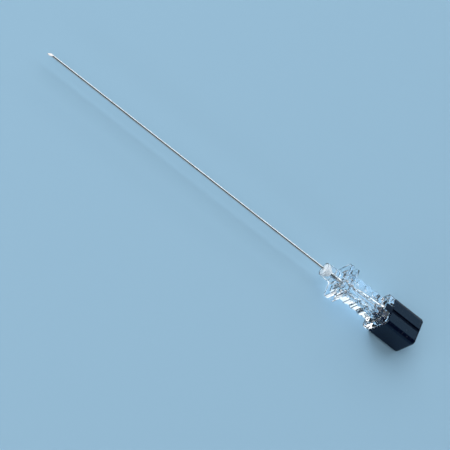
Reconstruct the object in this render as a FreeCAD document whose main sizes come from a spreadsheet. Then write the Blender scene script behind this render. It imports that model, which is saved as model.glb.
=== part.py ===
import FreeCAD, Part
import os
import Sketcher

Vector = FreeCAD.Vector
Rotation = FreeCAD.Rotation

# A 22 gauge by 90 mm spinal needle with its stylet in place. The needle's axis is X, the point is
# at -X, the grip and the stylet's cap are at +X, and the key that sets the bevel's side is on top.
# The origin is on the axis, in the front face of the hub's nose.
SIZES = [
    ("needle_length", 88.9, "from the nose's front face to the point"),
    ("cannula_outer", 0.71, "outside of the steel tube"),
    ("cannula_inner", 0.46, "bore of the steel tube"),
    ("cannula_seat", 9.3, "length of tube inside the hub"),
    ("bevel_angle", 28.6, "main grind, from the axis"),
    ("lancet_angle", 39.5, "each side grind, from the axis"),
    ("lancet_turn", 35, "each side grind, turned about the axis"),
    ("wire_diameter", 0.42, "stylet wire"),
    ("wire_grip", 8.4, "length of wire moulded into the plug"),
    ("nose_front", 3.5, "nose diameter at its front face"),
    ("nose_rear", 4.0, "nose diameter at the front flange"),
    ("nose_length", 4.5, "front face to front flange"),
    ("well_width", 3.15, "mouth of the adhesive well"),
    ("well_depth", 1.95, "depth of the adhesive well"),
    ("adhesive_film", 0.07, "adhesive between tube and bore"),
    ("adhesive_sink", 0.12, "how far the adhesive stands below the nose's rim"),
    ("adhesive_climb", 0.1, "how far it climbs along the tube"),
    ("square_width", 7.8, "flanges, collar and cap, across the flats"),
    ("square_corner", 1.2, "their corner radius"),
    ("flange_thick", 1.0, "front flange"),
    ("flange_gap", 1.2, "front flange to fin"),
    ("fin_thick", 0.35, "thin fin behind the front flange"),
    ("grip_width", 5.0, "grip, across the flats"),
    ("grip_corner", 0.5, "grip's corner radius"),
    ("grip_length", 10.2, "fin to collar"),
    ("fin_flare", 1.15, "fillet from fin to grip"),
    ("collar_flare", 1.15, "fillet from grip to collar"),
    ("flare_land", 0.05, "flat left between a flare and a plate's rounded edge"),
    ("waist_depth", 0.4, "hollow of each ridged side"),
    ("waist_length", 7.2, "length of that hollow"),
    ("waist_place", 4.85, "fin to the middle of the waist"),
    ("ridge_width", 1.9, "each finger ridge"),
    ("ridge_pitch", 2.4, "ridge to ridge"),
    ("ridge_span", 4.6, "length of each ridge across the side"),
    ("ridge_rise", 0.15, "how far the middle ridge stands past the grip's flat"),
    ("collar_thick", 1.55, "collar at the rear of the grip"),
    ("shoulder_step", 0.6, "collar's flats down to the square shoulder's"),
    ("shoulder_corner", 0.9, "its corner radius"),
    ("shoulder_thick", 0.4, "its thickness"),
    ("neck_length", 7.6, "shoulder to mouth"),
    ("lug_rise", 0.8, "lock lugs above the neck"),
    ("lug_thick", 1.7, "along the axis"),
    ("lug_sweep", 32, "angle that each lug takes round the neck"),
    ("lug_turn", 45, "lugs, turned about the axis"),
    ("socket_mouth", 4.3, "mouth of the tapered socket"),
    ("socket_depth", 8.0, "length of the tapered socket"),
    ("socket_taper", 0.06, "change of diameter with length"),
    ("throat_length", 0.5, "lead-in behind the tube"),
    ("throat_width", 1.5, "its wide end"),
    ("cone_length", 6.8, "slow cone in front of the socket"),
    ("cone_width", 2.75, "its wide end"),
    ("key_width", 1.9, "key on the cap's front"),
    ("key_reach", 1.85, "key forward of the cap"),
    ("key_drop", 0.1, "key below the cap's top"),
    ("key_depth", 0.65, "height of the key"),
    ("key_clearance", 0.1, "round the key in its notch"),
    ("cap_gap", 0.1, "shoulder to cap"),
    ("mouth_room", 0.3, "socket's mouth to the inside of the cap"),
    ("cap_edge", 0.8, "rounding of the cap's rear edges"),
    ("end_wall", 1.3, "closed rear of the cap"),
    ("skirt_wall", 0.8, "side wall of the cap, at the middle of a flat"),
    ("skirt_clearance", 0.1, "neck and lugs to the skirt"),
    ("plug_clearance", 0.03, "plug to the tapered socket"),
    ("plug_nose", 1.5, "diameter of the plug's front"),
    ("plug_nose_length", 1.1, "straight front of the plug"),
    ("plug_neck_length", 0.9, "cone from there to the taper"),
    ("groove_width", 1.0, "groove along the cap's top"),
    ("groove_depth", 0.45, "its depth"),
    ("edge_round", 0.15, "moulded edges of flange and collar"),
    ("mouth_bevel", 0.2, "lead-in at the socket's mouth"),
]

document = FreeCAD.newDocument("spinal_needle")
sheet = document.addObject("Spreadsheet::Sheet", "Sizes")
for row, (alias, value, note) in enumerate(SIZES, start=1):
    sheet.set(f"A{row}", alias)
    sheet.set(f"B{row}", str(value))
    sheet.set(f"C{row}", note)
    sheet.setAlias(f"B{row}", alias)
document.recompute()

# Places along the axis, each from the one in front of it.
FLANGE = "Sizes.nose_length"
CORE = f"{FLANGE} + Sizes.flange_thick"
FIN = f"{CORE} + Sizes.flange_gap"
GRIP = f"{FIN} + Sizes.fin_thick"
COLLAR = f"{GRIP} + Sizes.grip_length"
SHOULDER = f"{COLLAR} + Sizes.collar_thick"
NECK = f"{SHOULDER} + Sizes.shoulder_thick"
MOUTH = f"{NECK} + Sizes.neck_length"
SOCKET = f"{MOUTH} - Sizes.socket_depth"
THROAT = "Sizes.cannula_seat + Sizes.throat_length"
CONE = f"{THROAT} + Sizes.cone_length"
CAP = f"{NECK} + Sizes.cap_gap"
CEILING = f"{MOUTH} + Sizes.mouth_room"
CAP_END = f"{CEILING} + Sizes.end_wall"
TAPER = f"{SOCKET} + Sizes.plug_clearance"
PLUG_NECK = f"{TAPER} - Sizes.plug_neck_length"
PLUG_TIP = f"{PLUG_NECK} - Sizes.plug_nose_length"

# Radii and half widths that more than one piece uses.
TUBE = "Sizes.cannula_outer / 2"
BORE = f"{TUBE} + Sizes.adhesive_film"
WIRE = "Sizes.wire_diameter / 2"
TOP = "Sizes.square_width / 2"
SIDE = "Sizes.grip_width / 2"
SOCKET_END = "(Sizes.socket_mouth - Sizes.socket_taper * Sizes.socket_depth) / 2"
SOCKET_MOUTH = "Sizes.socket_mouth / 2"
SKIRT = f"{TOP} - Sizes.skirt_wall"
NECK_RADIUS = f"{SKIRT} - Sizes.skirt_clearance"
LUG_RADIUS = f"{NECK_RADIUS} + Sizes.lug_rise"

# How far a cutting shape runs past what it cuts, the side of the blocks that grind the point, and
# how near counts as touching.
OVERRUN = 1
GRIND_BLOCK = 6
NEAR = 1e-3


def size(expression):
    """The value of an expression of the sheet's sizes."""
    value = sheet.evalExpression(expression)
    return float(getattr(value, "Value", value))


def origin_feature(body, role):
    return next(item for item in body.Origin.OriginFeatures if item.Role == role)


def new_sketch(body, name, role, offset=None):
    """A sketch on one of the body's own planes, moved along its normal by an expression."""
    sketch = body.newObject("Sketcher::SketchObject", name)
    sketch.AttachmentSupport = (origin_feature(body, role), [""])
    sketch.MapMode = "FlatFace"
    if offset:
        sketch.setExpression("AttachmentOffset.Base.z", offset)
    return sketch


def pin_point(sketch, geometry, point, across, up):
    """Holds a point of the sketch at two expressions; the text 0 puts it on that axis."""
    for kind, expression, axis in (("DistanceX", across, -2), ("DistanceY", up, -1)):
        if expression == "0":
            sketch.addConstraint(Sketcher.Constraint("PointOnObject", geometry, point, axis))
        else:
            held = Sketcher.Constraint(kind, -1, 1, geometry, point, size(expression))
            index = sketch.addConstraint(held)
            sketch.setExpression(f"Constraints[{index}]", expression)


def outline(body, name, role, corners, offset=None):
    """A closed outline with straight sides, from pairs of expressions."""
    sketch = new_sketch(body, name, role, offset)
    points = [Vector(size(across), size(up), 0) for across, up in corners]
    following = points[1:] + points[:1]
    lines = [Part.LineSegment(a, b) for a, b in zip(points, following)]
    sketch.addGeometry(lines, False)
    for index in range(len(lines)):
        after = (index + 1) % len(lines)
        sketch.addConstraint(Sketcher.Constraint("Coincident", index, 2, after, 1))
    for index, (across, up) in enumerate(corners):
        pin_point(sketch, index, 1, across, up)
    document.recompute()
    return sketch


def circles(body, name, role, radius, centres, offset=None):
    """Circles of one radius about centres given as pairs of expressions."""
    sketch = new_sketch(body, name, role, offset)
    for index, (across, up) in enumerate(centres):
        centre = Vector(size(across), size(up), 0)
        sketch.addGeometry(Part.Circle(centre, Vector(0, 0, 1), size(radius)), False)
        pin_point(sketch, index, 3, across, up)
        held = sketch.addConstraint(Sketcher.Constraint("Radius", index, size(radius)))
        sketch.setExpression(f"Constraints[{held}]", radius)
    document.recompute()
    return sketch


def rounded_square(body, name, offset, width, corner):
    """A square with rounded corners, across the axis."""
    sketch = new_sketch(body, name, "YZ_Plane", offset)
    half = size(width) / 2
    flat = half - size(corner)
    quarter = 90
    for side in range(4):
        turn = Rotation(Vector(0, 0, 1), quarter * side)
        start = turn.multVec(Vector(half, -flat, 0))
        end = turn.multVec(Vector(half, flat, 0))
        centre = turn.multVec(Vector(flat, flat, 0))
        middle = centre + turn.multVec(Vector(1, 1, 0).normalize() * size(corner))
        arc_end = turn.multVec(Vector(flat, half, 0))
        sketch.addGeometry(Part.LineSegment(start, end), False)
        sketch.addGeometry(Part.Arc(end, middle, arc_end), False)
    for line in (0, 2, 4, 6):
        arc = line + 1
        after = (line + 2) % 8
        kind = "Vertical" if line % 4 == 0 else "Horizontal"
        sketch.addConstraint(Sketcher.Constraint(kind, line))
        sketch.addConstraint(Sketcher.Constraint("Tangent", line, 2, arc, 1))
        sketch.addConstraint(Sketcher.Constraint("Tangent", arc, 2, after, 1))
    for arc in (3, 5, 7):
        sketch.addConstraint(Sketcher.Constraint("Equal", 1, arc))
    sketch.addConstraint(Sketcher.Constraint("Symmetric", 1, 3, 5, 3, -1, 1))
    held = sketch.addConstraint(Sketcher.Constraint("Radius", 1, size(corner)))
    sketch.setExpression(f"Constraints[{held}]", corner)
    for kind, far, near in (("DistanceX", 4, 0), ("DistanceY", 6, 2)):
        held = sketch.addConstraint(Sketcher.Constraint(kind, far, 1, near, 1, size(width)))
        sketch.setExpression(f"Constraints[{held}]", width)
    document.recompute()
    return sketch


def extrude(body, name, sketch, length, kind="Pad", both=False):
    """A pad, or a pocket, towards +X; or half to each side of the sketch."""
    feature = body.newObject(f"PartDesign::{kind}", name)
    feature.Profile = sketch
    feature.setExpression("Length", length)
    if both:
        feature.SideType = "Symmetric"
    elif kind == "Pocket":
        feature.Reversed = True
    return grown(body, feature, kind == "Pad")


def turned(body, name, sketch, kind="Revolution"):
    """A full revolution, or a groove, about the needle's axis."""
    feature = body.newObject(f"PartDesign::{kind}", name)
    feature.Profile = sketch
    feature.ReferenceAxis = (origin_feature(body, "X_Axis"), [""])
    feature.Angle = 360
    return grown(body, feature, kind == "Revolution")


def grown(body, feature, adds):
    """Recomputes and makes sure that the feature added or took away material."""
    before = body.BaseFeature.Shape.Volume if body.BaseFeature else 0
    if feature.BaseFeature:
        before = feature.BaseFeature.Shape.Volume
    document.recompute()
    change = feature.Shape.Volume - before
    if (change <= 0) if adds else (change >= 0):
        raise RuntimeError(f"{feature.Name} changed the volume by {change}")
    return feature


def paired(body, name, features):
    """A second copy of the features, half a turn round the needle's axis."""
    pattern = body.newObject("PartDesign::PolarPattern", name)
    pattern.Originals = features
    pattern.Axis = (origin_feature(body, "X_Axis"), [""])
    pattern.Angle = 360
    pattern.Occurrences = 2
    body.Tip = pattern
    document.recompute()
    return pattern


def rings(place, reach):
    """A test for edges that lie across the axis at a place and reach just so far from it."""
    at, limit = size(place), size(reach)

    def chosen(edge):
        box = edge.BoundBox
        widest = max(abs(box.YMin), abs(box.YMax), abs(box.ZMin), abs(box.ZMax))
        return max(abs(box.XMin - at), abs(box.XMax - at), abs(widest - limit)) < NEAR

    return chosen


def dress(body, name, kind, amount, chosen):
    """A fillet or a chamfer on the edges that a test picks."""
    tip = body.Tip
    names = [f"Edge{i}" for i, edge in enumerate(tip.Shape.Edges, start=1) if chosen(edge)]
    if not names:
        raise RuntimeError(f"{name} found no edges")
    feature = body.newObject(f"PartDesign::{kind}", name)
    feature.Base = (tip, names)
    feature.setExpression("Radius" if kind == "Fillet" else "Size", amount)
    document.recompute()
    return feature


def sector(body, name, corners, reach, kind):
    """A ring's sector about the lugs' middle plane, with its twin across the axis."""
    sketch = outline(body, f"{name}_section", "XZ_Plane", corners)
    sketch.AttachmentOffset = FreeCAD.Placement(Vector(), Rotation(Vector(1, 0, 0), 1))
    sketch.setExpression("AttachmentOffset.Rotation.Angle", "Sizes.lug_turn")
    feature = body.newObject(f"PartDesign::{kind}", name)
    feature.Profile = sketch
    feature.ReferenceAxis = (sketch, ["H_Axis"])
    feature.Midplane = True
    feature.setExpression("Angle", reach)
    grown(body, feature, kind == "Revolution")
    return paired(body, f"{name}_pair", [feature])


def make_hub():
    """The clear moulded hub: nose, flange, fin, ridged grip, collar, neck and lock lugs outside;
    adhesive well, bore, guiding cone and tapered socket inside."""
    body = document.addObject("PartDesign::Body", "needle_hub")

    stem = rounded_square(body, "grip_section", FLANGE, "Sizes.grip_width", "Sizes.grip_corner")
    extrude(body, "grip", stem, f"({COLLAR}) - ({FLANGE})")

    # Each ridged side is hollowed by a long shallow arc that falls and rises over the waist.
    arc = "(Sizes.waist_length ^ 2 / (8 * Sizes.waist_depth) + Sizes.waist_depth / 2)"
    middle = f"{GRIP} + Sizes.waist_place"
    away = f"{SIDE} - Sizes.waist_depth + {arc}"
    sides = [(middle, away), (middle, f"-({away})")]
    hollow = circles(body, "waist_arcs", "XY_Plane", arc, sides)
    extrude(body, "waist", hollow, "Sizes.square_width", "Pocket", both=True)

    for name, place, thick in (
        ("front_flange", FLANGE, "Sizes.flange_thick"),
        ("fin", FIN, "Sizes.fin_thick"),
        ("collar", COLLAR, "Sizes.collar_thick"),
    ):
        square = rounded_square(
            body, f"{name}_section", place, "Sizes.square_width", "Sizes.square_corner"
        )
        extrude(body, name, square, thick)
    room = f"{TOP} - {SIDE} - Sizes.edge_round - Sizes.flare_land"
    flares = (("fin_fillet", "fin_flare", GRIP), ("collar_fillet", "collar_flare", COLLAR))
    for name, radius, place in flares:
        dress(body, name, "Fillet", f"min(Sizes.{radius}; {room})", rings(place, SIDE))

    # Three half-round finger ridges lie across each hollowed side.
    high = f"{SIDE} + Sizes.ridge_rise - Sizes.ridge_width / 2"
    first = f"{middle} - Sizes.ridge_pitch"
    rounds = circles(
        body, "ridge_section", "XY_Plane", "Sizes.ridge_width / 2",
        [(first, high), (first, f"-({high})")],
    )
    ridge = extrude(body, "ridge", rounds, "Sizes.ridge_span", both=True)
    row = body.newObject("PartDesign::LinearPattern", "ridges")
    row.Originals = [ridge]
    row.Direction = (origin_feature(body, "X_Axis"), [""])
    row.setExpression("Length", "2 * Sizes.ridge_pitch")
    row.Occurrences = 3
    body.Tip = row
    document.recompute()

    shoulder = rounded_square(
        body, "shoulder_section", SHOULDER,
        "Sizes.square_width - 2 * Sizes.shoulder_step", "Sizes.shoulder_corner",
    )
    extrude(body, "shoulder", shoulder, "Sizes.shoulder_thick")
    nose = [
        ("0", "0"),
        ("0", "Sizes.nose_front / 2"),
        (FLANGE, "Sizes.nose_rear / 2"),
        (FLANGE, "0"),
    ]
    turned(body, "nose", outline(body, "nose_section", "XZ_Plane", nose))
    neck = [
        (NECK, "0"),
        (NECK, NECK_RADIUS),
        (MOUTH, NECK_RADIUS),
        (MOUTH, "0"),
    ]
    turned(body, "neck", outline(body, "neck_section", "XZ_Plane", neck))
    lug_front = f"{MOUTH} - Sizes.lug_thick"
    lug_root = f"{NECK_RADIUS} - Sizes.skirt_clearance"
    lug = [
        (lug_front, lug_root),
        (MOUTH, lug_root),
        (MOUTH, LUG_RADIUS),
        (lug_front, LUG_RADIUS),
    ]
    sector(body, "lug", lug, "Sizes.lug_sweep", "Revolution")

    # The well, the bore, the guiding cone and the tapered socket are one turned space.
    inside = [
        ("0", "0"),
        ("0", "Sizes.well_width / 2"),
        ("Sizes.well_depth", BORE),
        ("Sizes.cannula_seat", BORE),
        (THROAT, "Sizes.throat_width / 2"),
        (CONE, "Sizes.cone_width / 2"),
        (SOCKET, SOCKET_END),
        (MOUTH, SOCKET_MOUTH),
        (MOUTH, "0"),
    ]
    turned(body, "inside", outline(body, "inside_section", "XZ_Plane", inside), "Groove")

    for name, place in (("flange_edge", FLANGE), ("flange_back", CORE), ("collar_edge", COLLAR)):
        dress(body, name, "Fillet", "Sizes.edge_round", rings(place, TOP))

    # A notch in the top of the collar and shoulder takes the key of the stylet's cap.
    half = "Sizes.key_width / 2 + Sizes.key_clearance"
    floor = f"{TOP} - Sizes.key_drop - Sizes.key_depth - Sizes.key_clearance"
    above = f"{TOP} + {OVERRUN}"
    notch = [(f"-({half})", floor), (half, floor), (half, above), (f"-({half})", above)]
    slot = outline(body, "notch_section", "YZ_Plane", notch, COLLAR)
    extrude(body, "notch", slot, "Sizes.collar_thick + Sizes.shoulder_thick", "Pocket")
    dress(body, "mouth_lead", "Chamfer", "Sizes.mouth_bevel", rings(MOUTH, SOCKET_MOUTH))
    return body


def make_adhesive():
    """The bead that fills the nose's well and the film that holds the tube in its bore."""
    body = document.addObject("PartDesign::Body", "cannula_adhesive")
    slope = f"(Sizes.well_width / 2 - ({BORE})) / Sizes.well_depth"
    rim = f"Sizes.well_width / 2 - Sizes.adhesive_sink * {slope}"
    bead = [
        ("-Sizes.adhesive_climb", TUBE),
        ("Sizes.adhesive_sink", rim),
        ("Sizes.well_depth", BORE),
        ("Sizes.cannula_seat", BORE),
        ("Sizes.cannula_seat", TUBE),
    ]
    turned(body, "bead", outline(body, "bead_section", "XZ_Plane", bead))
    return body


def rod(name, radius, front, length):
    """A round rod along the axis that starts at a place."""
    item = document.addObject("Part::Cylinder", name)
    item.setExpression("Radius", radius)
    item.setExpression("Height", length)
    item.Placement = FreeCAD.Placement(Vector(), Rotation(Vector(0, 1, 0), 90))
    item.setExpression("Placement.Base.x", front)
    return item


def make_grind():
    """What the three grinds take off the point: a long main face towards the top and a
    steeper face on each side. All three meet in the point, at the tube's lowest line."""
    faces = []
    for name, turn, angle in (
        ("main_grind", "0", "bevel_angle"),
        ("left_grind", "Sizes.lancet_turn", "lancet_angle"),
        ("right_grind", "-Sizes.lancet_turn", "lancet_angle"),
    ):
        block = document.addObject("Part::Box", name)
        block.Length = block.Width = block.Height = GRIND_BLOCK
        point = f"vector(-Sizes.needle_length; 0; -({TUBE}))"
        about = f"rotation(vector(1; 0; 0); {turn}) * rotation(vector(0; 1; 0); -Sizes.{angle})"
        shift = f"placement(vector({-OVERRUN}; {-GRIND_BLOCK / 2}; 0); rotation(vector(0; 0; 1); 0))"
        block.setExpression("Placement", f"placement({point}; {about}) * {shift}")
        faces.append(block)
    grind = document.addObject("Part::MultiFuse", "point_grind")
    grind.Shapes = faces
    document.recompute()
    return grind


def cut(name, base, tool):
    piece = document.addObject("Part::Cut", name)
    piece.Base = base
    piece.Tool = tool
    document.recompute()
    return piece


def make_cannula(grind):
    """The steel tube with its ground point."""
    length = "Sizes.needle_length + Sizes.cannula_seat"
    tube = rod("tube_blank", TUBE, "-Sizes.needle_length", length)
    lumen = rod(
        "lumen", "Sizes.cannula_inner / 2",
        f"-Sizes.needle_length - {OVERRUN}", f"{length} + {2 * OVERRUN}",
    )
    return cut("cannula", cut("open_tube", tube, lumen), grind)


def make_wire(grind):
    """The stylet's wire, ground flush with the tube and held in the cap's plug."""
    end = f"{PLUG_TIP} + Sizes.wire_grip"
    blank = rod("wire_blank", WIRE, "-Sizes.needle_length", f"{end} + Sizes.needle_length")
    return cut("stylet_wire", blank, grind)


def make_cap():
    """The black cap: a square skirt over the neck, a tapered plug in the socket round the wire,
    a key that enters the hub's notch and a groove along the top that shows the bevel's side."""
    body = document.addObject("PartDesign::Body", "stylet_cap")
    square = rounded_square(body, "cap_section", CAP, "Sizes.square_width", "Sizes.square_corner")
    length = f"({CAP_END}) - ({CAP})"
    extrude(body, "block", square, length)
    dress(body, "rear_edge", "Fillet", "Sizes.cap_edge", rings(CAP_END, TOP))
    half = "Sizes.groove_width / 2"
    floor = f"{TOP} - Sizes.groove_depth"
    above = f"{TOP} + {OVERRUN}"
    groove = [(f"-{half}", floor), (half, floor), (half, above), (f"-{half}", above)]
    line = outline(body, "groove_section", "YZ_Plane", groove, CAP)
    extrude(body, "groove", line, length, "Pocket")

    skirt = circles(body, "skirt_section", "YZ_Plane", SKIRT, [("0", "0")], CAP)
    extrude(body, "skirt", skirt, f"{length} - Sizes.end_wall", "Pocket")
    reach = f"{LUG_RADIUS} + Sizes.skirt_clearance"
    slot = [(CAP, NECK_RADIUS), (CEILING, NECK_RADIUS), (CEILING, reach), (CAP, reach)]
    spare = f"Sizes.lug_sweep + 2 * Sizes.skirt_clearance * 180 / (pi * ({reach}))"
    sector(body, "lug_way", slot, spare, "Groove")

    # The plug follows the socket's taper on to the ceiling of the skirt.
    growth = f"Sizes.socket_taper / 2 * (({CEILING}) - ({SOCKET}))"
    plug = [
        (PLUG_TIP, "0"),
        (PLUG_TIP, "Sizes.plug_nose / 2"),
        (PLUG_NECK, "Sizes.plug_nose / 2"),
        (TAPER, f"{SOCKET_END} - Sizes.plug_clearance"),
        (CEILING, f"{SOCKET_END} - Sizes.plug_clearance + {growth}"),
        (CEILING, "0"),
    ]
    turned(body, "plug", outline(body, "plug_section", "XZ_Plane", plug))
    bore = circles(body, "wire_hole_section", "YZ_Plane", WIRE, [("0", "0")], PLUG_TIP)
    extrude(body, "wire_hole", bore, "Sizes.wire_grip", "Pocket")

    half = "Sizes.key_width / 2"
    top = f"{TOP} - Sizes.key_drop"
    under = f"{top} - Sizes.key_depth"
    key = [(f"-{half}", under), (half, under), (half, top), (f"-{half}", top)]
    tongue = outline(body, "key_section", "YZ_Plane", key, f"{CAP} - Sizes.key_reach")
    extrude(body, "key", tongue, "Sizes.key_reach")
    return body


grind = make_grind()
pieces = [make_hub(), make_adhesive(), make_cannula(grind), make_wire(grind), make_cap()]
document.recompute()

for item in document.Objects:
    if "Invalid" in item.State or "Error" in item.State:
        raise RuntimeError(f"{item.Name} failed: {item.State}")
for piece in pieces:
    if piece.Shape.isNull() or not piece.Shape.isValid():
        raise RuntimeError(f"{piece.Label} has no valid shape")

os.makedirs("parts", exist_ok=True)
for piece in pieces:
    piece.Shape.exportStep(f"parts/{piece.Label}.step")
    box = piece.Shape.BoundBox
    print(piece.Label, round(piece.Shape.Volume, 3), len(piece.Shape.Solids), box)
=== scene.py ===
import math

import bmesh
import bpy
from mathutils import Matrix, Vector


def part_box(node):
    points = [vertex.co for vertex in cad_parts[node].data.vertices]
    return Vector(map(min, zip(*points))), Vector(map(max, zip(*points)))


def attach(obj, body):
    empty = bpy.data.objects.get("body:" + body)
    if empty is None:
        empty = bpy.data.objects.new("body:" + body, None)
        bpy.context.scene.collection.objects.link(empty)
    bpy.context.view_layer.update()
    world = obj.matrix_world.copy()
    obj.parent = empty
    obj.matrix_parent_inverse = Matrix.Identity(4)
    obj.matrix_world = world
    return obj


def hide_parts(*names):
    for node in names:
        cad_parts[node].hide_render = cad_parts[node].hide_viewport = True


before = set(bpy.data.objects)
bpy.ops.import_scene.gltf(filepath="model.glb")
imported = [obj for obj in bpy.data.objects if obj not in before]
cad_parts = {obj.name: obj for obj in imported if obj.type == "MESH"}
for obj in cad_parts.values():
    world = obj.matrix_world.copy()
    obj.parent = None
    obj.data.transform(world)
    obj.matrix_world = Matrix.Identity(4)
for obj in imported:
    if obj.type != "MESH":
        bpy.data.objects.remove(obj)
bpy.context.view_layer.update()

# Camera. It looks down on the needle from the point's side, well above it and to its left, through
# a long lens, and is rolled so that the needle runs from the upper left to the lower right.
view_from = Vector((-0.375, -0.545, 0.75)).normalized()
needle_in_view = Vector((1, 0, 0)) - view_from * view_from.x
needle_in_view.normalize()
across_view = view_from.cross(needle_in_view)

fall = math.radians(38.04)
camera_right = needle_in_view * math.cos(fall) + across_view * math.sin(fall)
camera_up = across_view * math.cos(fall) - needle_in_view * math.sin(fall)

# In the photograph's 450 pixels, the nose's front face is at this place, and 4.2 of them are 1 mm.
picture_width = 450
nose_pixel = (323.9, 268.9)
pixels_per_metre = 4207
sensor_width = 36
off_centre = [(picture_width / 2 - place) / pixels_per_metre for place in nose_pixel]
aim = camera_right * off_centre[0] - camera_up * off_centre[1]

camera_distance = 2.4
camera_data = bpy.data.cameras.new("camera")
camera_data.sensor_width = sensor_width
camera_data.lens = sensor_width * camera_distance * pixels_per_metre / picture_width
camera_data.clip_start = 0.01
camera_data.clip_end = 20
camera = bpy.data.objects.new("camera", camera_data)
turn = Matrix((camera_right, camera_up, view_from)).transposed().to_4x4()
camera.matrix_world = Matrix.Translation(aim + view_from * camera_distance) @ turn
bpy.context.scene.collection.objects.link(camera)
bpy.context.scene.camera = camera
bpy.context.scene.view_settings.view_transform = "Standard"


# Floor. A plain pale board, cool in tone, that the needle lies on, a hair below the cap's flat so
# that no two faces share a plane. It takes the needle's soft shadow.
def new_material(name):
    """An empty material, its nodes and its output."""
    material = bpy.data.materials.new(name)
    material.use_nodes = True
    nodes = material.node_tree.nodes
    nodes.clear()
    return material, nodes, nodes.new("ShaderNodeOutputMaterial")


floor_colour = (0.31, 0.51, 0.67, 1)
floor_gap = 0.00002
floor_level = -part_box("stylet_cap")[1].z - floor_gap
floor_size = 3.0
floor_material, nodes, output = new_material("pale_board")
links = floor_material.node_tree.links
board = nodes.new("ShaderNodeBsdfPrincipled")
board.inputs["Base Color"].default_value = floor_colour
board.inputs["Roughness"].default_value = 0.85
links.new(board.outputs["BSDF"], output.inputs["Surface"])

floor_mesh = bpy.data.meshes.new("floor")
bm = bmesh.new()
bmesh.ops.create_grid(bm, x_segments=1, y_segments=1, size=floor_size / 2)
bmesh.ops.translate(bm, vec=(0, 0, floor_level), verts=bm.verts)
bm.to_mesh(floor_mesh)
bm.free()
floor_mesh.materials.append(floor_material)
floor = bpy.data.objects.new("floor", floor_mesh)
bpy.context.scene.collection.objects.link(floor)

# Studio light. The needle lies in a low pale tent, dark towards the lens, so that its steel shows
# bright and dark lines. A key and a fill light stand beyond the point and a cool box above the
# cap, which shows in the cap's top, and a narrow strip on each side picks out the moulded edges.
world = bpy.data.worlds.new("studio")
world.use_nodes = True
tent = world.node_tree
direction = tent.nodes.new("ShaderNodeTexCoord")
parts = tent.nodes.new("ShaderNodeSeparateXYZ")
tent.links.new(direction.outputs["Generated"], parts.inputs["Vector"])
height = tent.nodes.new("ShaderNodeMapRange")
height.interpolation_type = "SMOOTHSTEP"
height.inputs["From Min"].default_value = 0.1
height.inputs["From Max"].default_value = 0.42
height.inputs["To Min"].default_value = 0.8
height.inputs["To Max"].default_value = 0.06
tent.links.new(parts.outputs["Z"], height.inputs["Value"])
tent.nodes["Background"].inputs["Color"].default_value = (0.8, 0.92, 1, 1)
tent.links.new(height.outputs["Result"], tent.nodes["Background"].inputs["Strength"])
bpy.context.scene.world = world

lamp_distance = 1.5


def soft_box(name, towards, long_side, short_side, watts, colour=(1, 1, 1)):
    """A rectangular soft box that faces the hub, its long side along the needle."""
    data = bpy.data.lights.new(name, "AREA")
    data.shape = "RECTANGLE"
    data.size = long_side
    data.size_y = short_side
    data.energy = watts
    data.color = colour
    back = Vector(towards).normalized()
    along = Vector((1, 0, 0)) - back * back.x
    along.normalize()
    lamp = bpy.data.objects.new(name, data)
    turn = Matrix((along, back.cross(along), back)).transposed().to_4x4()
    lamp.matrix_world = Matrix.Translation(back * lamp_distance) @ turn
    lamp.visible_camera = False
    bpy.context.scene.collection.objects.link(lamp)


soft_box("key_light", (-0.45, 0.5, 0.74), long_side=1.35, short_side=1.35, watts=13)
soft_box("fill_light", (-0.55, -0.4, 0.75), long_side=1.3, short_side=1.3, watts=10.5)
soft_box(
    "cap_box", (0.38, 0.56, 0.74), long_side=0.85, short_side=1, watts=3.9, colour=(0.8, 0.92, 1)
)
soft_box("far_strip", (0.1, 0.92, 0.38), long_side=1.8, short_side=0.3, watts=4.5)
soft_box("near_strip", (-0.3, -0.95, 0.25), long_side=1.4, short_side=0.16, watts=4)


# Needle hub. One clear moulding in polished polycarbonate: nose, flange, fin, ridged grip, collar
# and socket. Its surface is slightly uneven from the mould, and the moulded edges are just broken.
def new_group(name, inputs, outputs):
    """A node group with named sockets, and its input and output nodes."""
    group = bpy.data.node_groups.new(name, "ShaderNodeTree")
    for label, value in inputs.items():
        kind = "NodeSocketVector" if isinstance(value, tuple) else "NodeSocketFloat"
        socket = group.interface.new_socket(label, in_out="INPUT", socket_type=kind)
        socket.default_value = value
    for label, kind in outputs.items():
        group.interface.new_socket(label, in_out="OUTPUT", socket_type=f"NodeSocket{kind}")
    return group, group.nodes.new("NodeGroupInput"), group.nodes.new("NodeGroupOutput")


def feed(tree, socket, value):
    """Links a socket's value, or sets a number or vector."""
    if isinstance(value, bpy.types.NodeSocket):
        tree.links.new(value, socket)
    else:
        socket.default_value = value


def reckon(tree, operation, first, second, clamp=False):
    """A math node on two values."""
    node = tree.nodes.new("ShaderNodeMath")
    node.operation = operation
    node.use_clamp = clamp
    feed(tree, node.inputs[0], first)
    feed(tree, node.inputs[1], second)
    return node.outputs[0]


def noise(tree, scale, detail, stretch=(1, 1, 1)):
    """Noise in the object's own space, drawn out along its axes."""
    where = tree.nodes.new("ShaderNodeTexCoord")
    mapping = tree.nodes.new("ShaderNodeMapping")
    feed(tree, mapping.inputs["Scale"], stretch)
    tree.links.new(where.outputs["Object"], mapping.inputs["Vector"])
    node = tree.nodes.new("ShaderNodeTexNoise")
    feed(tree, node.inputs["Scale"], scale)
    node.inputs["Detail"].default_value = detail
    tree.links.new(mapping.outputs["Vector"], node.inputs["Vector"])
    return node.outputs["Fac"]


def bump(tree, height, distance):
    """A normal from a height."""
    node = tree.nodes.new("ShaderNodeBump")
    feed(tree, node.inputs["Height"], height)
    feed(tree, node.inputs["Distance"], distance)
    return node.outputs["Normal"]


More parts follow.
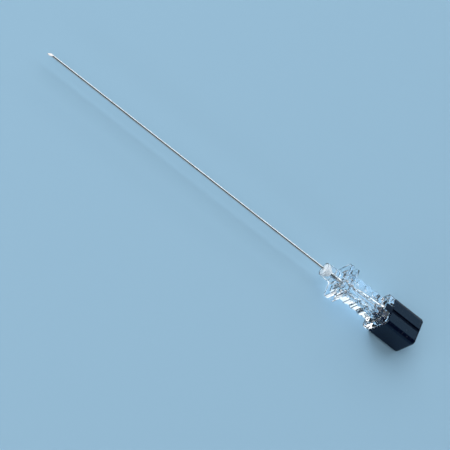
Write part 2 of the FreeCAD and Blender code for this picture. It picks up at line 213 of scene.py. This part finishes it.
def make_moulded_surface():
    """Moulded plastic: a slow waviness, faint flow lines along the part and small scuffs."""
    group, given, out = new_group(
        "moulded_surface",
        {"Roughness": 0.05, "Scuffs": 0.1, "Relief": 0.00001},
        {"Marks": "Float", "Roughness": "Float", "Normal": "Vector"},
    )
    bare_share = 0.58
    flow_height = 0.15
    wave = noise(group, scale=350, detail=2)
    flow = noise(group, scale=1100, detail=4, stretch=(0.2, 1, 1))
    scuff = noise(group, scale=2600, detail=6, stretch=(1, 0.3, 1))
    marks = reckon(group, "SUBTRACT", scuff, bare_share, clamp=True)
    marks = reckon(group, "MULTIPLY", marks, given.outputs["Scuffs"])
    feed(group, out.inputs["Marks"], marks)
    haze = reckon(group, "MULTIPLY", flow, given.outputs["Roughness"])
    feed(group, out.inputs["Roughness"], reckon(group, "ADD", haze, marks))
    height = reckon(group, "ADD", reckon(group, "MULTIPLY", flow, flow_height), wave)
    feed(group, out.inputs["Normal"], bump(group, height, given.outputs["Relief"]))
    return group


moulded_surface = make_moulded_surface()


def place_group(material, group, values):
    """A group in a material, with this material's own values."""
    node = material.node_tree.nodes.new("ShaderNodeGroup")
    node.node_tree = group
    for label, value in values.items():
        node.inputs[label].default_value = value
    return node


def true_normals(mesh, crease):
    """Corner normals weighted to the larger faces, so that flats stay flat and rounds flow in."""
    around = [[] for _ in mesh.vertices]
    for face in mesh.polygons:
        for corner in face.vertices:
            around[corner].append(face)
    limit = math.cos(math.radians(crease))
    normals = []
    for face in mesh.polygons:
        for corner in face.vertices:
            near = [other for other in around[corner] if other.normal.dot(face.normal) > limit]
            total = Vector()
            for other in near:
                total += other.normal * other.area ** 2
            normals.append(total.normalized())
    mesh.normals_split_custom_set(normals)


def finished_copy(node, name, material, broken_edge):
    """The node's solid with its sharp edges just broken, its rounds smooth and its flats true."""
    weld, flat, crease = 1e-7, 0.2, 32
    mesh = bpy.data.meshes.new(name)
    bm = bmesh.new()
    bm.from_mesh(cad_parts[node].data)
    bmesh.ops.remove_doubles(bm, verts=bm.verts, dist=weld)
    bmesh.ops.dissolve_limit(bm, angle_limit=math.radians(flat), verts=bm.verts, edges=bm.edges)
    corners = [edge for edge in bm.edges if edge.calc_face_angle(0) > math.radians(crease)]
    bmesh.ops.bevel(
        bm, geom=corners, offset=broken_edge, segments=2, profile=0.5, affect="EDGES",
        clamp_overlap=True, material=-1,
    )
    for face in bm.faces:
        face.smooth = True
    bm.to_mesh(mesh)
    bm.free()
    true_normals(mesh, crease)
    mesh.materials.append(material)
    piece = bpy.data.objects.new(name, mesh)
    bpy.context.scene.collection.objects.link(piece)
    return piece


def let_lamps_through(material, glass, tint):
    """Clear plastic that casts only a faint shadow on what is in it and under it."""
    nodes, links = material.node_tree.nodes, material.node_tree.links
    path = nodes.new("ShaderNodeLightPath")
    through = nodes.new("ShaderNodeBsdfTransparent")
    through.inputs["Color"].default_value = tint
    choice = nodes.new("ShaderNodeMixShader")
    links.new(path.outputs["Is Shadow Ray"], choice.inputs["Fac"])
    links.new(glass.outputs["BSDF"], choice.inputs[1])
    links.new(through.outputs["BSDF"], choice.inputs[2])
    return choice.outputs["Shader"]


clear_plastic, nodes, output = new_material("clear_plastic")
links = clear_plastic.node_tree.links
clear = nodes.new("ShaderNodeBsdfPrincipled")
clear.inputs["Base Color"].default_value = (0.93, 0.97, 1, 1)
clear.inputs["IOR"].default_value = 1.5
clear.inputs["Transmission Weight"].default_value = 1
surface = place_group(
    clear_plastic, moulded_surface, {"Roughness": 0.04, "Scuffs": 0.2, "Relief": 0.00001}
)
links.new(surface.outputs["Roughness"], clear.inputs["Roughness"])
links.new(surface.outputs["Normal"], clear.inputs["Normal"])
links.new(let_lamps_through(clear_plastic, clear, (0.9, 0.95, 1, 1)), output.inputs["Surface"])

hub = finished_copy("needle_hub", "clear_hub", clear_plastic, broken_edge=0.00005)
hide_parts("needle_hub")
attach(hub, "needle")


# Cannula. A drawn stainless steel tube, polished along its length and glued deep into the hub. Its
# point has three grinds, a long one and one on each side, which cut tube and wire together.
needle_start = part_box("cannula")[0].x
tube_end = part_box("cannula")[1].x
tube_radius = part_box("cannula")[1].z
lumen_radius = 0.00023
point = Vector((needle_start, 0, -tube_radius))
bevel_angle = math.radians(28.6)
lancet_angle = math.radians(39.5)
lancet_turn = math.radians(35)
round_steps = 64
same_place = 1e-8
thinnest_edge = 1e-9


def make_worked_steel():
    """Steel with fine lines along its working direction, and faint clouding between them."""
    group, given, out = new_group(
        "worked_steel",
        {"Grain": (0.02, 1, 1), "Tone": 1.0, "Roughness": 0.2, "Relief": 0.000001},
        {"Shade": "Float", "Roughness": "Float", "Normal": "Vector"},
    )
    darkest, line_shade, cloud_shade, line_spread = 0.55, 0.2, 0.2, 0.9
    lines = noise(group, scale=14000, detail=3, stretch=given.outputs["Grain"])
    clouds = noise(group, scale=500, detail=3)
    shade = reckon(group, "MULTIPLY_ADD", lines, line_shade)
    shade.node.inputs[2].default_value = darkest
    shade = reckon(group, "ADD", shade, reckon(group, "MULTIPLY", clouds, cloud_shade))
    feed(group, out.inputs["Shade"], reckon(group, "MULTIPLY", shade, given.outputs["Tone"]))
    spread = reckon(group, "ADD", reckon(group, "MULTIPLY", lines, line_spread), clouds)
    rough = reckon(group, "MULTIPLY", spread, given.outputs["Roughness"])
    feed(group, out.inputs["Roughness"], rough)
    feed(group, out.inputs["Normal"], bump(group, lines, given.outputs["Relief"]))
    return group


worked_steel = make_worked_steel()


def steel(name, values):
    """Polished stainless steel with its working lines."""
    material, nodes, output = new_material(name)
    links = material.node_tree.links
    metal = nodes.new("ShaderNodeBsdfPrincipled")
    metal.inputs["Metallic"].default_value = 1
    lines = place_group(material, worked_steel, values)
    links.new(lines.outputs["Shade"], metal.inputs["Base Color"])
    links.new(lines.outputs["Roughness"], metal.inputs["Roughness"])
    links.new(lines.outputs["Normal"], metal.inputs["Normal"])
    links.new(metal.outputs["BSDF"], output.inputs["Surface"])
    return material


drawn_tube = steel("drawn_tube", {"Grain": (0.02, 1, 1), "Roughness": 0.12})
ground_face = steel("ground_face", {"Grain": (1, 0.05, 1), "Tone": 0.6, "Roughness": 0.24})


def turned_shape(corners):
    """A round shape: an outline of places along the axis and radii, spun about the axis."""
    bm = bmesh.new()
    verts = [bm.verts.new((along, 0, radius)) for along, radius in corners]
    for first, second in zip(verts, verts[1:] + verts[:1]):
        bm.edges.new((first, second))
    bmesh.ops.spin(
        bm, geom=bm.verts[:] + bm.edges[:], cent=(0, 0, 0), axis=(1, 0, 0),
        angle=2 * math.pi, steps=round_steps, use_merge=True,
    )
    bmesh.ops.remove_doubles(bm, verts=bm.verts, dist=same_place)
    bmesh.ops.dissolve_degenerate(bm, edges=bm.edges, dist=thinnest_edge)
    bmesh.ops.recalc_face_normals(bm, faces=bm.faces)
    return bm


def grind(bm):
    """Cuts the three faces of the point; they take the second material."""
    grinds = ((0, bevel_angle), (lancet_turn, lancet_angle), (-lancet_turn, lancet_angle))
    for about, angle in grinds:
        facing = Matrix.Rotation(about, 3, "X") @ Vector((-math.sin(angle), 0, math.cos(angle)))
        bmesh.ops.bisect_plane(
            bm, geom=bm.verts[:] + bm.edges[:] + bm.faces[:], plane_co=point,
            plane_no=facing, clear_outer=True, dist=same_place,
        )
        rim = [edge for edge in bm.edges if edge.is_boundary]
        filled = bmesh.ops.triangle_fill(bm, edges=rim, use_beauty=True, normal=facing)
        for face in filled["geom"]:
            if isinstance(face, bmesh.types.BMFace):
                face.material_index = 1
    bmesh.ops.recalc_face_normals(bm, faces=bm.faces)


def finished_piece(name, bm, materials, crease=20):
    """An object from a bmesh, smooth but for its creases."""
    mesh = bpy.data.meshes.new(name)
    for face in bm.faces:
        face.smooth = True
    bm.to_mesh(mesh)
    bm.free()
    mesh.set_sharp_from_angle(angle=math.radians(crease))
    for material in materials:
        mesh.materials.append(material)
    piece = bpy.data.objects.new(name, mesh)
    bpy.context.scene.collection.objects.link(piece)
    return piece


tube = turned_shape([
    (needle_start, lumen_radius), (needle_start, tube_radius),
    (tube_end, tube_radius), (tube_end, lumen_radius),
])
grind(tube)
cannula = finished_piece("steel_tube", tube, [drawn_tube, ground_face])
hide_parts("cannula")
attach(cannula, "needle")


# Adhesive. A milky bead that was run into the nose's well round the tube, where it set a little
# hollow with small bubbles in it, and a thin film of the same down the bore, which looks clear.
# The bead wets the well's wall, so it stands a hair into it.
bead_front, well_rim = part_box("cannula_adhesive")[0].x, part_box("cannula_adhesive")[1].z
film_radius = tube_radius + 0.00003
bore_radius = tube_radius + 0.00007
cling = 0.000015
well_depth = 0.00195
rim_place = 0.00012


def make_milky_adhesive():
    """Cured adhesive: cloudy, with bubbles."""
    material, nodes, output = new_material("milky_adhesive")
    tree = material.node_tree
    body = nodes.new("ShaderNodeBsdfPrincipled")
    body.inputs["IOR"].default_value = 1.5
    body.inputs["Transmission Weight"].default_value = 0.08
    bubble_relief = 0.00001
    haze = 0.5
    cloud = noise(tree, scale=1600, detail=4)
    ramp = nodes.new("ShaderNodeMix")
    ramp.data_type = "RGBA"
    tree.links.new(cloud, ramp.inputs["Factor"])
    ramp.inputs["A"].default_value = (0.86, 0.91, 0.95, 1)
    ramp.inputs["B"].default_value = (0.98, 0.99, 1, 1)
    tree.links.new(ramp.outputs["Result"], body.inputs["Base Color"])
    bubbles = nodes.new("ShaderNodeTexVoronoi")
    bubbles.inputs["Scale"].default_value = 5000
    where = nodes.new("ShaderNodeTexCoord")
    tree.links.new(where.outputs["Object"], bubbles.inputs["Vector"])
    feed(tree, body.inputs["Normal"], bump(tree, bubbles.outputs["Distance"], bubble_relief))
    feed(tree, body.inputs["Roughness"], reckon(tree, "MULTIPLY", cloud, haze))
    tree.links.new(body.outputs["BSDF"], output.inputs["Surface"])
    return material


def make_clear_adhesive():
    """The thin film in the bore, clear, with a few streaks where it was drawn in."""
    material, nodes, output = new_material("clear_adhesive")
    tree = material.node_tree
    body = nodes.new("ShaderNodeBsdfPrincipled")
    body.inputs["IOR"].default_value = 1.4
    body.inputs["Transmission Weight"].default_value = 1
    streak_haze = 0.08
    streaks = noise(tree, scale=2500, detail=4, stretch=(0.1, 1, 1))
    feed(tree, body.inputs["Roughness"], reckon(tree, "MULTIPLY", streaks, streak_haze))
    tree.links.new(let_lamps_through(material, body, (0.95, 0.98, 1, 1)), output.inputs["Surface"])
    return material


# The hollow front, as shares of the way from the tube to the rim, outwards and back.
hollow = [(0.25, 0.25), (0.5, 0.55), (0.75, 0.82)]
hollow_depth = 1.15
bead = [(bead_front, tube_radius)]
for outward, back in hollow:
    along = bead_front + (rim_place - bead_front) * back * hollow_depth
    bead.append((along, tube_radius + (well_rim - tube_radius) * outward))
bead += [
    (rim_place, well_rim + cling),
    (well_depth, bore_radius + cling),
    (well_depth, film_radius),
    (tube_end, film_radius),
    (tube_end, tube_radius),
]
cured = turned_shape(bead)
for face in cured.faces:
    if face.calc_center_median().x > well_depth:
        face.material_index = 1
kinds = [make_milky_adhesive(), make_clear_adhesive()]
adhesive = finished_piece("adhesive_bead", cured, kinds, crease=40)
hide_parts("cannula_adhesive")
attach(adhesive, "needle")


# Stylet wire. A straight hard-drawn steel wire that fills the tube, so that it cores no tissue. It
# is moulded into the plug of the cap and ground with the tube.
wire_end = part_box("stylet_wire")[1].x
wire_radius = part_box("stylet_wire")[1].z
rod = turned_shape(
    [(needle_start, 0), (needle_start, wire_radius), (wire_end, wire_radius), (wire_end, 0)]
)
grind(rod)
drawn_wire = steel("drawn_wire", {"Grain": (0.03, 1, 1), "Roughness": 0.22})
wire = finished_piece("steel_wire", rod, [drawn_wire, ground_face])
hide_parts("stylet_wire")
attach(wire, "stylet")


# Stylet cap. A black glossy moulding: a square skirt over the hub's neck, the tapered plug inside
# it, the key on its front and the groove along its top. The groove's floor and the key have a fine
# spark texture from the mould, and handling leaves faint scuffs.
def black_moulding(name, roughness, relief):
    """Black plastic with faint lighter scuffs, and a painted blue reflection tinting its gloss."""
    material, nodes, output = new_material(name)
    links = material.node_tree.links
    scuff_contrast = 4
    black = nodes.new("ShaderNodeBsdfPrincipled")
    black.inputs["IOR"].default_value = 1.36
    # The blue specular tint is painted reflection: it gives the gloss the blue of cool
    # surroundings under any lamp.
    black.inputs["Specular Tint"].default_value = (0.34, 0.7, 1, 1)
    values = {"Roughness": roughness, "Scuffs": 0.5, "Relief": relief}
    surface = place_group(material, moulded_surface, values)
    wear = nodes.new("ShaderNodeMix")
    wear.data_type = "RGBA"
    wear.inputs["A"].default_value = (0.001, 0.0025, 0.012, 1)
    wear.inputs["B"].default_value = (0.05, 0.055, 0.07, 1)
    marks = surface.outputs["Marks"]
    seen = reckon(material.node_tree, "MULTIPLY", marks, scuff_contrast, clamp=True)
    links.new(seen, wear.inputs["Factor"])
    links.new(wear.outputs["Result"], black.inputs["Base Color"])
    links.new(surface.outputs["Roughness"], black.inputs["Roughness"])
    links.new(surface.outputs["Normal"], black.inputs["Normal"])
    links.new(black.outputs["BSDF"], output.inputs["Surface"])
    return material


black_polished = black_moulding("black_polished", roughness=0.3, relief=0.000012)
black_textured = black_moulding("black_textured", roughness=1.3, relief=0.00003)
cap = finished_copy("stylet_cap", "black_cap", black_polished, broken_edge=0.00006)
cap.data.materials.append(black_textured)

# The key's top lies 0.1 mm below the cap's top and the groove's floor 0.45 mm.
cap_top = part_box("stylet_cap")[1].z
least_sunk, most_sunk = 0.00008, 0.0006
facing_up = 0.95
for face in cap.data.polygons:
    if face.normal.z > facing_up and least_sunk < cap_top - face.center.z < most_sunk:
        face.material_index = 1
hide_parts("stylet_cap")
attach(cap, "stylet")
